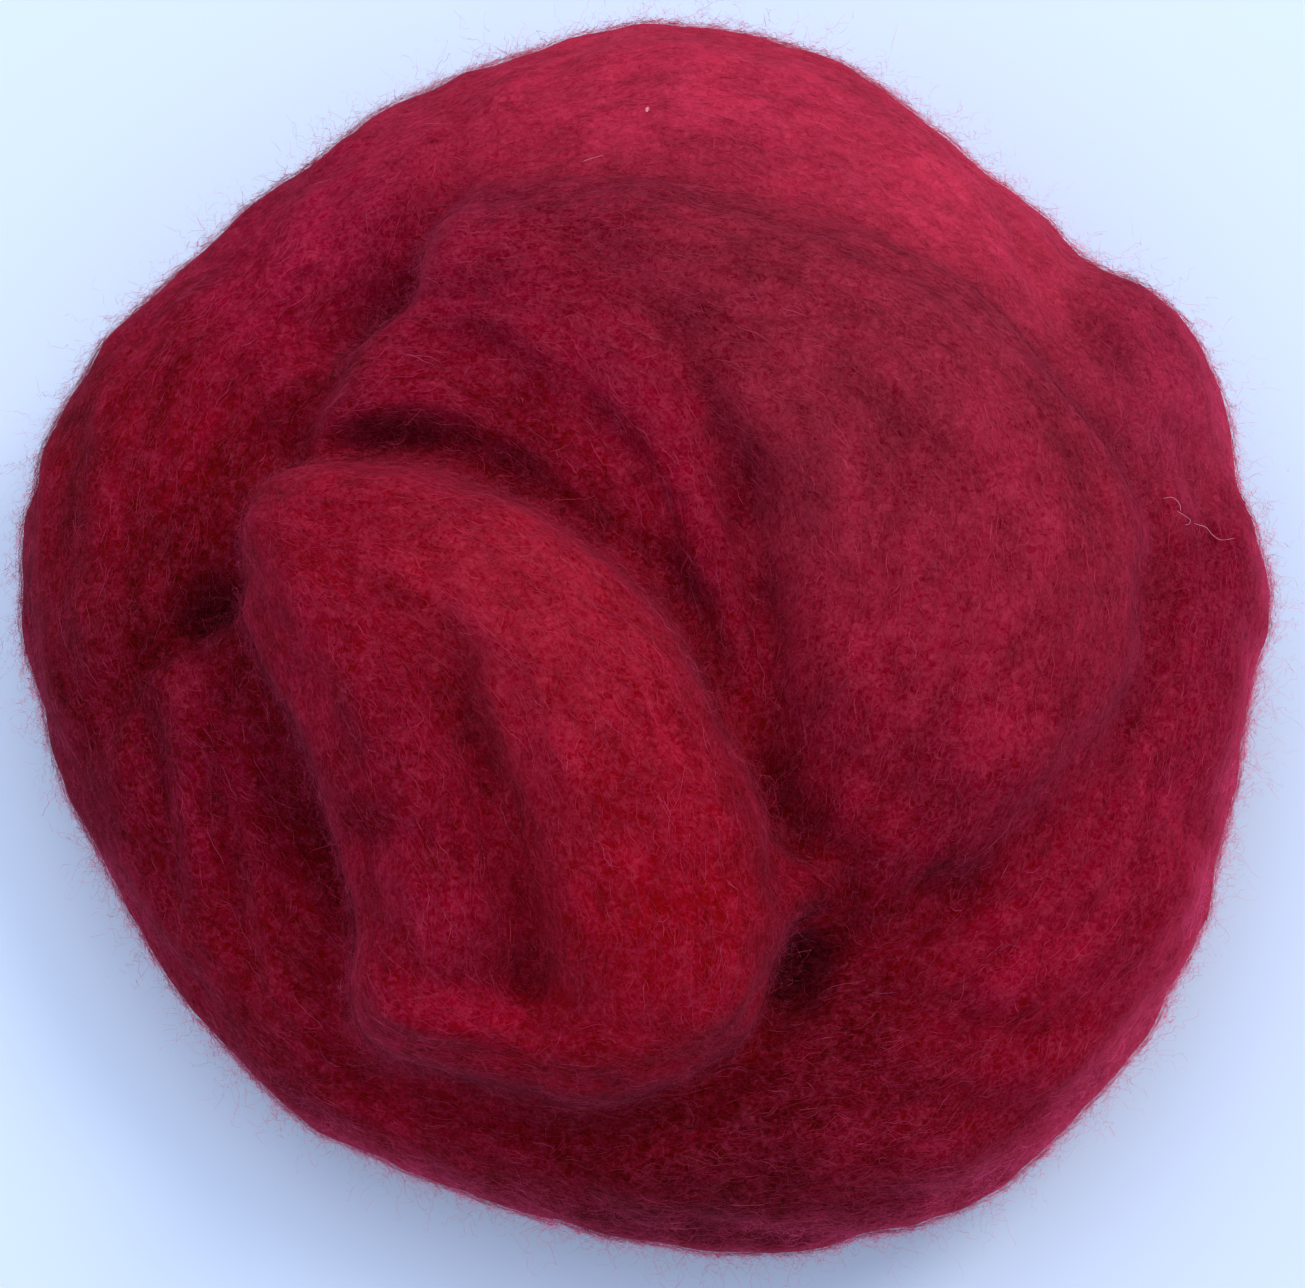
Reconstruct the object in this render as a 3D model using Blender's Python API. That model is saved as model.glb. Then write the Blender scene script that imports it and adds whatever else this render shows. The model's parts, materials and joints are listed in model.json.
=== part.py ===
"""Wool roving wound into a loose round nest, with its free end laid over the top.

One soft sliver of carded wool makes every turn. Each turn is a band carried along a short table of sections,
and the bands are melted together into one closed solid, because the real thing is a single length.
Metres, +Z up, the nest rests on z = 0 and is centred on the Z axis.
"""

import math

import bpy
import numpy as np

# Driving dimensions, in millimetres.
MILLIMETRE = 0.001
CELL = 3.1  # how fine the melted skin is
FINE_STEPS = 8  # sections worked out between two rows of a table
AROUND = 36  # points round each band
SQUARENESS = 2.25  # 2 is an ellipse, higher is squarer
BLUNTNESS = 0.75  # length of a rounded end as a share of the half height
SOFTEN = 0.5  # share of the way a point moves towards its neighbours
FIRST_SOFTEN_STEPS = 1
LAST_SOFTEN_STEPS = 2
BASE_FROM = 1.6  # what hangs lower than this is pressed flat on the table
CREASE_CURVE_STEPS = 14

# Each row is one section across a turn of the roving:
# east, north and height of its middle, then its half width and its half height.
TURNS = {
    # the big outside turn: from the back, round the left and the front, and up the right side
    "outer_turn": [
        (0, 50, 27, 7, 8),
        (-19, 44, 22, 15, 16),
        (-34, 31, 19, 18, 18),
        (-43, 17, 18, 21, 19),
        (-44, 1, 17, 21, 18),
        (-39, -15, 17, 19, 18),
        (-28, -31, 17, 19, 17),
        (-13, -38, 17, 20, 17),
        (5, -43, 18, 20, 18),
        (24, -41, 18, 20, 18),
        (37, -28, 18, 20, 19),
        (41, -17, 18, 20, 18),
        (43, -5, 19, 21, 19),
        (44, 7, 18, 22, 18),
        (40, 22, 14, 15, 14),
    ],
    # the turn that closes the ring at the back
    "back_turn": [
        (-40, 40, 14, 11, 12),
        (-26, 41, 18, 17, 17),
        (-11, 45, 19, 20, 20),
        (4, 48, 20, 20, 21),
        (16, 44, 20, 20, 21),
        (27, 38, 20, 17, 20),
        (35, 33, 19, 15, 19),
        (43, 23, 16, 12, 15),
    ],
    # a loose puff of the same turn, low on the right
    "side_puff": [
        (34, 43, 18, 6, 8),
        (41, 37, 20, 7, 9),
        (47, 30, 21, 11, 14),
        (50, 21, 20, 13, 15),
        (51, 8, 17, 10, 12),
    ],
    # the wide turn that crowns the nest
    "crown_turn": [
        (-27, 34, 30, 8, 11),
        (-14, 34, 33, 11, 14),
        (0, 32, 34, 13, 16),
        (13, 27, 34, 15, 17),
        (25, 18, 34, 19, 18),
        (31, 3, 33, 21, 18),
        (29, -12, 31, 20, 18),
        (24, -23, 27, 15, 15),
        (16, -33, 22, 8, 9),
    ],
    # the narrow strand just inside the crown
    "inner_strand": [
        (-25, 32, 31, 7, 10),
        (-13, 29, 34, 8, 13),
        (-3, 22, 35, 8, 13),
        (4, 13, 35, 7, 13),
        (7, 3, 34, 6, 12),
        (10, -9, 32, 5, 11),
        (13, -22, 27, 4, 9),
    ],
    # the strand that runs close beside the free end
    "strand_by_the_tail": [
        (-36, 18, 29, 6, 9),
        (-29, 22, 32, 9, 11),
        (-20, 23, 33, 11, 11),
        (-11, 18, 33, 10, 12),
        (-3, 10, 33, 8, 12),
        (3, 0, 32, 6, 11),
        (8, -13, 30, 4, 10),
    ],
    # the low wool that dives under the free end
    "wool_under_the_tail": [
        (-31, 17, 30, 5, 8),
        (-22, 17, 32, 6, 9),
        (-14, 13, 33, 6, 9),
        (-6, 6, 33, 4, 9),
        (1, -4, 32, 4, 8),
    ],
    # the two lengthwise halves of the free end, folded over the top
    "tail_right": [
        (-38, 9, 32, 6, 9),
        (-30, 5, 36, 9, 13),
        (-21, 1, 38, 11, 15),
        (-12, -5, 39, 12, 16),
        (-5, -14, 39, 13, 16),
        (-1, -24, 39, 13, 16),
        (2, -33, 38, 13, 15),
        (1, -39, 36, 12, 14),
        (-2, -45, 33, 10, 11),
    ],
    "tail_left": [
        (-37, 8, 32, 7, 10),
        (-31, -1, 35, 9, 14),
        (-26, -12, 37, 9, 15),
        (-22, -22, 36, 9, 15),
        (-20, -31, 35, 9, 14),
        (-18, -38, 34, 10, 13),
        (-16, -43, 33, 10, 11),
    ],
    # the edge where the end of the roving is folded under
    "folded_end": [
        (-25, -34, 33, 4, 9),
        (-25, -42, 34, 3, 11),
        (-19, -44, 33, 4, 12),
        (-11, -44, 31, 6, 10),
        (-3, -45, 34, 6, 12),
        (4, -43, 35, 6, 12),
        (9, -38, 35, 6, 11),
    ],
    # a tuft at the corner where the free end tucks under the crown
    "corner_tuft": [
        (6, -30, 39, 7, 9),
        (13, -32, 38, 5, 7),
        (20, -33, 36, 3, 4),
    ],
    # what fills the middle of the nest under the visible turns
    "core": [
        (-32, 0, 16, 20, 15),
        (0, 0, 18, 32, 18),
        (32, 0, 16, 20, 15),
    ],
}

# Each crease is pressed down into the skin along a short line seen from above:
# its depth, its half width, then the east and north of the points it passes through.
CREASES = {
    "end_of_the_crown": (6.0, 2.8, [(-19, 46), (-23, 41), (-26, 35), (-29, 30), (-33, 24), (-36, 16)]),
    "over_the_inner_strand": (1.5, 3.0, [(-11, 37), (-5, 34), (-1, 29)]),
    "pocket_over_the_tail": (3.0, 1.6, [(-31, 16), (-28, 16), (-23, 16), (-18, 15)]),
    "beside_the_tail": (2.0, 1.8, [(-14, 14), (-5, 7), (2, 2), (6, -4), (8, -9), (11, -15), (15, -25)]),
    "between_the_strands": (0.8, 2.4, [(-22, 31), (-12, 27), (-3, 18), (2, 8), (5, 0)]),
    "inside_the_crown": (2.0, 1.8, [(-1, 29), (5, 21), (9, 12), (11, 3), (13, -4), (13, -15), (14, -26)]),
    "down_the_tail": (1.6, 1.5, [(-22, 0), (-18, -9), (-17, -14), (-14, -24), (-12, -34)]),
    "lower_down_the_tail": (1.4, 3.0, [(-15, -17), (-13, -26), (-12, -35), (-11, -43), (-10, -52)]),
    "across_the_left_half": (1.5, 2.4, [(-32, -28), (-24, -27), (-15, -30)]),
    "across_the_right_half": (1.2, 2.6, [(-6, -35), (2, -34), (9, -31), (17, -29)]),
    "left_hole": (5.0, 2.4, [(-41, 2), (-44, 0), (-49, -4)]),
    "crease_from_the_left_hole": (3.2, 2.4, [(-45, 1), (-51, -5), (-57, -14)]),
    "beside_the_left_half": (2.2, 2.4, [(-38, -12), (-36, -19), (-32, -27), (-31, -34), (-31, -46)]),
    "front_hole": (5.0, 2.2, [(21, -30), (18, -35), (15, -41), (11, -47)]),
    "foot_of_the_tail": (3.5, 2.6, [(-31, -36), (-30, -47), (-17, -51), (-6, -54), (6, -51), (15, -43)]),
    "foot_of_the_crown": (2.6, 2.8, [(22, -32), (32, -31), (43, -22), (51, -10), (53, 0), (53, 9)]),
    "upper_front_strand": (1.0, 2.2, [(24, -35), (34, -36), (45, -33), (54, -24)]),
    "front_strand": (2.0, 2.4, [(22, -39), (30, -43), (41, -43), (51, -37)]),
    "lower_front_strand": (1.2, 2.4, [(17, -45), (27, -50), (38, -51)]),
    "right_strand": (3.0, 1.6, [(34, 34), (40, 28), (45, 21), (49, 16), (52, 9)]),
    "right_groove": (1.8, 1.6, [(52, 16), (53, 8), (54, 0), (51, -10)]),
    "right_edge": (1.4, 2.2, [(55, 22), (59, 13), (60, 2)]),
    "back_seam": (1.2, 3.0, [(-21, 54), (-12, 49), (0, 44)]),
    "edge_of_the_back_turn": (2.2, 1.8, [(35, 49), (39, 42), (42, 35), (46, 27)]),
    "under_the_puff": (2.5, 3.2, [(45, 33), (48, 29), (52, 23)]),
    "first_pleat": (2.6, 2.2, [(-51, -4), (-50, -16), (-47, -30)]),
    "second_pleat": (3.0, 2.2, [(-44, -12), (-42, -27), (-39, -40)]),
    "third_pleat": (2.4, 2.2, [(-37, -22), (-35, -31), (-33, -45)]),
}

WOOL_COLOUR = (0.27, 0.012, 0.030, 1.0)
WOOL_ROUGHNESS = 0.9


def through(rows, steps):
    """A smooth run through the rows of a table: between two rows p1 and p2, each number follows the
    cubic that leaves p1 along (p2 - p0) / 2 and reaches p2 along (p3 - p1) / 2."""
    rows = np.array(rows, dtype=float)
    padded = np.vstack([2 * rows[0] - rows[1], rows, 2 * rows[-1] - rows[-2]])
    share = np.arange(steps)[:, None] / steps
    runs = []
    for p0, p1, p2, p3 in zip(padded, padded[1:], padded[2:], padded[3:]):
        leave = (p2 - p0) / 2
        reach = (p3 - p1) / 2
        runs.append(
            p1 * (2 * share**3 - 3 * share**2 + 1)
            + leave * (share**3 - 2 * share**2 + share)
            + p2 * (3 * share**2 - 2 * share**3)
            + reach * (share**3 - share**2)
        )
    return np.vstack(runs + [rows[-1:]])


def band(rows):
    """Points and faces of one closed band. Each section is the curve
    middle + side * width * cos(a)^(2/s) + lift * height * sin(a)^(2/s), with s the squareness.
    Over the last stretch at both ends the section shrinks as sqrt(1 - x^2), like the end of a bolster."""
    run = through(rows, FINE_STEPS)
    middle, wide, tall = run[:, :3], run[:, 3], run[:, 4]
    along = np.gradient(middle, axis=0)
    along /= np.linalg.norm(along, axis=1, keepdims=True)
    side = np.cross(along, (0.0, 0.0, 1.0))
    side /= np.linalg.norm(side, axis=1, keepdims=True)
    lift = np.cross(side, along)

    travelled = np.r_[0.0, np.cumsum(np.linalg.norm(np.diff(middle, axis=0), axis=1))]
    from_end = np.minimum(travelled, travelled[-1] - travelled)
    rounding = BLUNTNESS * np.minimum(wide, tall)
    short_of = np.clip(1 - from_end / rounding, 0, 0.995)
    swell = np.sqrt(1 - short_of**2)[:, None]

    angle = np.arange(AROUND) * 2 * math.pi / AROUND
    across = np.sign(np.cos(angle)) * np.abs(np.cos(angle)) ** (2 / SQUARENESS)
    up = np.sign(np.sin(angle)) * np.abs(np.sin(angle)) ** (2 / SQUARENESS)
    ring = (
        middle[:, None, :]
        + side[:, None, :] * (swell * wide[:, None] * across)[:, :, None]
        + lift[:, None, :] * (swell * tall[:, None] * up)[:, :, None]
    )
    count = len(middle)
    points = np.vstack([ring.reshape(-1, 3), middle[:1], middle[-1:]])
    first, last = count * AROUND, count * AROUND + 1
    faces = []
    for i in range(count - 1):
        for j in range(AROUND):
            k = (j + 1) % AROUND
            faces.append((i * AROUND + j, i * AROUND + k, (i + 1) * AROUND + k, (i + 1) * AROUND + j))
    for j in range(AROUND):
        k = (j + 1) % AROUND
        faces.append((first, k, j))
        faces.append((last, (count - 1) * AROUND + j, (count - 1) * AROUND + k))
    return points, faces


def melted(turns):
    """All the bands as one closed skin: they are remeshed together on cells of one size."""
    points, faces, offset = [], [], 0
    for rows in turns.values():
        band_points, band_faces = band(rows)
        points.append(band_points)
        faces += [tuple(offset + i for i in face) for face in band_faces]
        offset += len(band_points)
    mesh = bpy.data.meshes.new("turns")
    mesh.from_pydata((np.vstack(points) * MILLIMETRE).tolist(), [], faces)
    holder = bpy.data.objects.new("turns", mesh)
    bpy.context.scene.collection.objects.link(holder)
    remesh = holder.modifiers.new("melt", "REMESH")
    remesh.mode = "VOXEL"
    remesh.voxel_size = CELL * MILLIMETRE
    evaluated = holder.evaluated_get(bpy.context.evaluated_depsgraph_get())
    skin = bpy.data.meshes.new_from_object(evaluated)
    bpy.data.objects.remove(holder)
    bpy.data.meshes.remove(mesh)
    return skin


def press_creases(points, normals):
    """Lowers what faces up by depth * exp(-(d / width)^2), with d the distance to the crease's line as seen
    from above. The line is a run of straight pieces. A crease fades towards its own ends, and is never narrower
    than a cell. Where creases meet, the deeper one counts."""
    facing = np.clip(normals[:, 2] * 2, 0, 1)
    drop = np.zeros(len(points))
    for depth, half_width, stops in CREASES.values():
        width = max(half_width, CELL)
        line = through(stops, CREASE_CURVE_STEPS)
        fade = np.sin(np.linspace(0.25, math.pi - 0.25, len(line) - 1))
        for start, end, strength in zip(line, line[1:], fade):
            piece = end - start
            share = np.clip((points[:, :2] - start) @ piece / (piece @ piece), 0, 1)
            away = np.linalg.norm(points[:, :2] - start - share[:, None] * piece, axis=1)
            drop = np.maximum(drop, depth * strength * np.exp(-((away / width) ** 2)))
    points[:, 2] -= drop * facing


def soften(points, pairs, steps):
    """Moves every point part of the way to the mean of the points joined to it, a number of times."""
    joined = np.bincount(pairs.ravel(), minlength=len(points))[:, None]
    for _ in range(steps):
        total = np.zeros_like(points)
        np.add.at(total, pairs[:, 0], points[pairs[:, 1]])
        np.add.at(total, pairs[:, 1], points[pairs[:, 0]])
        points += SOFTEN * (total / joined - points)


def settle(skin):
    """Presses the creases in, softens the skin, presses the lowest part flat on the table,
    and centres the nest on the Z axis. Works in millimetres."""
    flat = np.zeros(len(skin.vertices) * 3)
    skin.vertices.foreach_get("co", flat)
    points = flat.reshape(-1, 3) / MILLIMETRE
    skin.vertices.foreach_get("normal", flat)
    normals = flat.reshape(-1, 3).copy()
    pairs = np.zeros(len(skin.edges) * 2, dtype=np.int32)
    skin.edges.foreach_get("vertices", pairs)
    pairs = pairs.reshape(-1, 2)

    soften(points, pairs, FIRST_SOFTEN_STEPS)
    press_creases(points, normals)
    soften(points, pairs, LAST_SOFTEN_STEPS)
    points[:, 2] = np.maximum(points[:, 2] - BASE_FROM, 0.0)
    middle = (points[:, :2].min(axis=0) + points[:, :2].max(axis=0)) / 2
    points[:, :2] -= middle
    skin.vertices.foreach_set("co", (points * MILLIMETRE).ravel())
    skin.update()
    return middle


def wool():
    """The one material of the whole nest."""
    material = bpy.data.materials.new("red_wool")
    material.use_nodes = True
    shader = material.node_tree.nodes["Principled BSDF"]
    shader.inputs["Base Color"].default_value = WOOL_COLOUR
    shader.inputs["Roughness"].default_value = WOOL_ROUGHNESS
    shader.inputs["Metallic"].default_value = 0.0
    return material


for old in list(bpy.data.objects):
    bpy.data.objects.remove(old)

skin = melted(TURNS)
centre = settle(skin)
skin.name = "roving"
skin.materials.clear()
skin.materials.append(wool())
skin.shade_smooth()
roving = bpy.data.objects.new("roving", skin)
bpy.context.scene.collection.objects.link(roving)
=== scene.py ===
# %% [markdown]
# # A nest of red wool roving
#
# Roving is wool that has been washed, dyed and carded into one long, soft, untwisted rope of fibres.
# This length is wound into a loose round nest about 130 mm across, and its free end is folded over the top.
# The scene builds it in layers, the way the eye reads it: first the soft body of the turns,
# then the fibres that lie along each turn, then the short fuzz, and last the stray fibres at the outline.

import json
import math

import bpy
import numpy as np
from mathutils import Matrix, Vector

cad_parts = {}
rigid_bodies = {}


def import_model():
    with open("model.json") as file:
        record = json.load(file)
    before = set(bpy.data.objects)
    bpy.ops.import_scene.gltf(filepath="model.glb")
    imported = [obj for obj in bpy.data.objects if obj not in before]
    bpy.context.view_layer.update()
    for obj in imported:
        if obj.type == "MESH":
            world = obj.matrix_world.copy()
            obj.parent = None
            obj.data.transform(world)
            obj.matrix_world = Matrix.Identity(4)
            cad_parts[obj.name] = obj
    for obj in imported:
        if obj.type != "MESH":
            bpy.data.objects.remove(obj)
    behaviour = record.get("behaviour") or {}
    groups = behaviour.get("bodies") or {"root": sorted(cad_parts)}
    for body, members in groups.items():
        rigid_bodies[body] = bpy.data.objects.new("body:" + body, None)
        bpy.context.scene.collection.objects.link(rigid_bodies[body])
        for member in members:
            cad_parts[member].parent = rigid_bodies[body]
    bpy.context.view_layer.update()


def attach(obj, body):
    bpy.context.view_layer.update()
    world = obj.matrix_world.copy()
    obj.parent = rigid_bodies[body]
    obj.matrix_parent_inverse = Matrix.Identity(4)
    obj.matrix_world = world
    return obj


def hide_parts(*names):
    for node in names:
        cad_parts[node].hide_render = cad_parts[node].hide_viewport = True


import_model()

# %% [markdown]
# ## The turns, as a short table
#
# Every turn of the roving is a band: a soft, nearly oval section carried along a path.
# A row gives one section: east, north and height of its middle, then its half width and half height,
# all in millimetres. Few rows are enough, because a smooth curve is run through them.
# The same rows shape the solid that this scene dresses, so the two agree.

# %% The tables of turns and creases
MM = 0.001
CENTRE = (0.3, 2.3)  # east and north of the outline's middle, which becomes the Z axis
BASE_FROM = 1.6  # what hangs lower than this is pressed flat on the table
SQUARENESS = 2.25  # 2 is an ellipse, higher is squarer
BLUNTNESS = 0.75  # length of a rounded end as a share of the half height

TURNS = {
    # the big outside turn: from the back, round the left and the front, and up the right side
    "outer_turn": [
        (0, 50, 27, 7, 8),
        (-19, 44, 22, 15, 16),
        (-34, 31, 19, 18, 18),
        (-43, 17, 18, 21, 19),
        (-44, 1, 17, 21, 18),
        (-39, -15, 17, 19, 18),
        (-28, -31, 17, 19, 17),
        (-13, -38, 17, 20, 17),
        (5, -43, 18, 20, 18),
        (24, -41, 18, 20, 18),
        (37, -28, 18, 20, 19),
        (41, -17, 18, 20, 18),
        (43, -5, 19, 21, 19),
        (44, 7, 18, 22, 18),
        (40, 22, 14, 15, 14),
    ],
    # the turn that closes the ring at the back
    "back_turn": [
        (-40, 40, 14, 11, 12),
        (-26, 41, 18, 17, 17),
        (-11, 45, 19, 20, 20),
        (4, 48, 20, 20, 21),
        (16, 44, 20, 20, 21),
        (27, 38, 20, 17, 20),
        (35, 33, 19, 15, 19),
        (43, 23, 16, 12, 15),
    ],
    # a loose puff of the same turn, low on the right
    "side_puff": [
        (34, 43, 18, 6, 8),
        (41, 37, 20, 7, 9),
        (47, 30, 21, 11, 14),
        (50, 21, 20, 13, 15),
        (51, 8, 17, 10, 12),
    ],
    # the wide turn that crowns the nest
    "crown_turn": [
        (-27, 34, 30, 8, 11),
        (-14, 34, 33, 11, 14),
        (0, 32, 34, 13, 16),
        (13, 27, 34, 15, 17),
        (25, 18, 34, 19, 18),
        (31, 3, 33, 21, 18),
        (29, -12, 31, 20, 18),
        (24, -23, 27, 15, 15),
        (16, -33, 22, 8, 9),
    ],
    # the narrow strand just inside the crown
    "inner_strand": [
        (-25, 32, 31, 7, 10),
        (-13, 29, 34, 8, 13),
        (-3, 22, 35, 8, 13),
        (4, 13, 35, 7, 13),
        (7, 3, 34, 6, 12),
        (10, -9, 32, 5, 11),
        (13, -22, 27, 4, 9),
    ],
    # the strand that runs close beside the free end
    "strand_by_the_tail": [
        (-36, 18, 29, 6, 9),
        (-29, 22, 32, 9, 11),
        (-20, 23, 33, 11, 11),
        (-11, 18, 33, 10, 12),
        (-3, 10, 33, 8, 12),
        (3, 0, 32, 6, 11),
        (8, -13, 30, 4, 10),
    ],
    # the low wool that dives under the free end
    "wool_under_the_tail": [
        (-31, 17, 30, 5, 8),
        (-22, 17, 32, 6, 9),
        (-14, 13, 33, 6, 9),
        (-6, 6, 33, 4, 9),
        (1, -4, 32, 4, 8),
    ],
    # the two lengthwise halves of the free end, folded over the top
    "tail_right": [
        (-38, 9, 32, 6, 9),
        (-30, 5, 36, 9, 13),
        (-21, 1, 38, 11, 15),
        (-12, -5, 39, 12, 16),
        (-5, -14, 39, 13, 16),
        (-1, -24, 39, 13, 16),
        (2, -33, 38, 13, 15),
        (1, -39, 36, 12, 14),
        (-2, -45, 33, 10, 11),
    ],
    "tail_left": [
        (-37, 8, 32, 7, 10),
        (-31, -1, 35, 9, 14),
        (-26, -12, 37, 9, 15),
        (-22, -22, 36, 9, 15),
        (-20, -31, 35, 9, 14),
        (-18, -38, 34, 10, 13),
        (-16, -43, 33, 10, 11),
    ],
    # the edge where the end of the roving is folded under
    "folded_end": [
        (-25, -34, 33, 4, 9),
        (-25, -42, 34, 3, 11),
        (-19, -44, 33, 4, 12),
        (-11, -44, 31, 6, 10),
        (-3, -45, 34, 6, 12),
        (4, -43, 35, 6, 12),
        (9, -38, 35, 6, 11),
    ],
    # a tuft at the corner where the free end tucks under the crown
    "corner_tuft": [
        (6, -30, 39, 7, 9),
        (13, -32, 38, 5, 7),
        (20, -33, 36, 3, 4),
    ],
    # what fills the middle of the nest under the visible turns
    "core": [
        (-32, 0, 16, 20, 15),
        (0, 0, 18, 32, 18),
        (32, 0, 16, 20, 15),
    ],
}

# a crease: its depth, its half width, then the points it passes through as seen from above
CREASES = {
    "end_of_the_crown": (6.0, 2.8, [(-19, 46), (-23, 41), (-26, 35), (-29, 30), (-33, 24), (-36, 16)]),
    "over_the_inner_strand": (1.5, 3.0, [(-11, 37), (-5, 34), (-1, 29)]),
    "pocket_over_the_tail": (3.0, 1.6, [(-31, 16), (-28, 16), (-23, 16), (-18, 15)]),
    "beside_the_tail": (2.0, 1.8, [(-14, 14), (-5, 7), (2, 2), (6, -4), (8, -9), (11, -15), (15, -25)]),
    "between_the_strands": (0.8, 2.4, [(-22, 31), (-12, 27), (-3, 18), (2, 8), (5, 0)]),
    "inside_the_crown": (2.0, 1.8, [(-1, 29), (5, 21), (9, 12), (11, 3), (13, -4), (13, -15), (14, -26)]),
    "down_the_tail": (1.6, 1.5, [(-22, 0), (-18, -9), (-17, -14), (-14, -24), (-12, -34)]),
    "lower_down_the_tail": (1.4, 3.0, [(-15, -17), (-13, -26), (-12, -35), (-11, -43), (-10, -52)]),
    "across_the_left_half": (1.5, 2.4, [(-32, -28), (-24, -27), (-15, -30)]),
    "across_the_right_half": (1.2, 2.6, [(-6, -35), (2, -34), (9, -31), (17, -29)]),
    "left_hole": (5.0, 2.4, [(-41, 2), (-44, 0), (-49, -4)]),
    "crease_from_the_left_hole": (3.2, 2.4, [(-45, 1), (-51, -5), (-57, -14)]),
    "beside_the_left_half": (2.2, 2.4, [(-38, -12), (-36, -19), (-32, -27), (-31, -34), (-31, -46)]),
    "front_hole": (5.0, 2.2, [(21, -30), (18, -35), (15, -41), (11, -47)]),
    "foot_of_the_tail": (3.5, 2.6, [(-31, -36), (-30, -47), (-17, -51), (-6, -54), (6, -51), (15, -43)]),
    "foot_of_the_crown": (2.6, 2.8, [(22, -32), (32, -31), (43, -22), (51, -10), (53, 0), (53, 9)]),
    "upper_front_strand": (1.0, 2.2, [(24, -35), (34, -36), (45, -33), (54, -24)]),
    "front_strand": (2.0, 2.4, [(22, -39), (30, -43), (41, -43), (51, -37)]),
    "lower_front_strand": (1.2, 2.4, [(17, -45), (27, -50), (38, -51)]),
    "right_strand": (3.0, 1.6, [(34, 34), (40, 28), (45, 21), (49, 16), (52, 9)]),
    "right_groove": (1.8, 1.6, [(52, 16), (53, 8), (54, 0), (51, -10)]),
    "right_edge": (1.4, 2.2, [(55, 22), (59, 13), (60, 2)]),
    "back_seam": (1.2, 3.0, [(-21, 54), (-12, 49), (0, 44)]),
    "edge_of_the_back_turn": (2.2, 1.8, [(35, 49), (39, 42), (42, 35), (46, 27)]),
    "under_the_puff": (2.5, 3.2, [(45, 33), (48, 29), (52, 23)]),
    "first_pleat": (2.6, 2.2, [(-51, -4), (-50, -16), (-47, -30)]),
    "second_pleat": (3.0, 2.2, [(-44, -12), (-42, -27), (-39, -40)]),
    "third_pleat": (2.4, 2.2, [(-37, -22), (-35, -31), (-33, -45)]),
}
print(len(TURNS), "turns and", len(CREASES), "creases")

# %% [markdown]
# ## Carrying a section along a turn
#
# A sweep needs, at each place along the path, a direction to go, a direction to the side and one that lifts.
# A Blender curve with a bevel can swell and thin, but only in width and height alike.
# A turn of roving needs each on its own, so its sections are worked out here.
# The path is re-measured in even steps, so that "ten millimetres further on" means the same everywhere.
# That matters later, when strands and fibres are laid along it.

# %% Paths with even steps
STEP = 1.0  # millimetres between two sections
ROW_STEPS = 24  # steps from one table row to the next, before the path is re-measured


def through(rows, steps):
    """A smooth run through table rows: between rows p1 and p2 it leaves along (p2 - p0) / 2
    and arrives along (p3 - p1) / 2."""
    rows = np.array(rows, dtype=float)
    padded = np.vstack([2 * rows[0] - rows[1], rows, 2 * rows[-1] - rows[-2]])
    share = np.arange(steps)[:, None] / steps
    runs = []
    for p0, p1, p2, p3 in zip(padded, padded[1:], padded[2:], padded[3:]):
        runs.append(
            p1 * (2 * share**3 - 3 * share**2 + 1)
            + (p2 - p0) / 2 * (share**3 - 2 * share**2 + share)
            + p2 * (3 * share**2 - 2 * share**3)
            + (p3 - p1) / 2 * (share**3 - share**2)
        )
    return np.vstack(runs + [rows[-1:]])


def unit(vectors):
    """Each vector divided by its own length."""
    return vectors / np.maximum(np.linalg.norm(vectors, axis=-1, keepdims=True), 1e-9)


def carried(rows):
    """A turn re-measured in even steps. Its two ends shrink as sqrt(1 - x^2), like the end of a bolster."""
    run = through(rows, ROW_STEPS)
    gone = np.r_[0.0, np.cumsum(np.linalg.norm(np.diff(run[:, :3], axis=0), axis=1))]
    stops = np.linspace(0, gone[-1], int(gone[-1] / STEP) + 1)
    even = np.column_stack([np.interp(stops, gone, column) for column in run.T])
    middle, wide, tall = even[:, :3], even[:, 3], even[:, 4]
    along = unit(np.gradient(middle, axis=0))
    side = unit(np.cross(along, (0.0, 0.0, 1.0)))
    lift = np.cross(side, along)
    from_end = np.minimum(stops, stops[-1] - stops)
    short_of = np.clip(1 - from_end / (BLUNTNESS * np.minimum(wide, tall)), 0, 0.995)
    swell = np.sqrt(1 - short_of**2)
    turn = {"length": stops[-1], "middle": middle, "along": along, "side": side, "lift": lift}
    return turn | {"wide": wide * swell, "tall": tall * swell, "size": (wide.mean() + tall.mean()) / 2}


turns = {name: carried(rows) for name, rows in TURNS.items()}
for name, turn in turns.items():
    print(f"{name}: {turn['length']:.0f} mm long, {2 * turn['size']:.0f} mm thick")

# %% [markdown]
# ## The skin of the nest
#
# All bands go into one mesh, and a voxel remesh melts them into a single skin.
# A boolean union would join them too, but it would leave a sharp seam where two turns cross.
# Real wool has no such edge: where two turns press together, their fibres close over the gap.

# %% Melt the turns into one skin
AROUND = 96  # points round a section
CELL = 1.05  # millimetres, the side of a cell of the remesh


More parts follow.
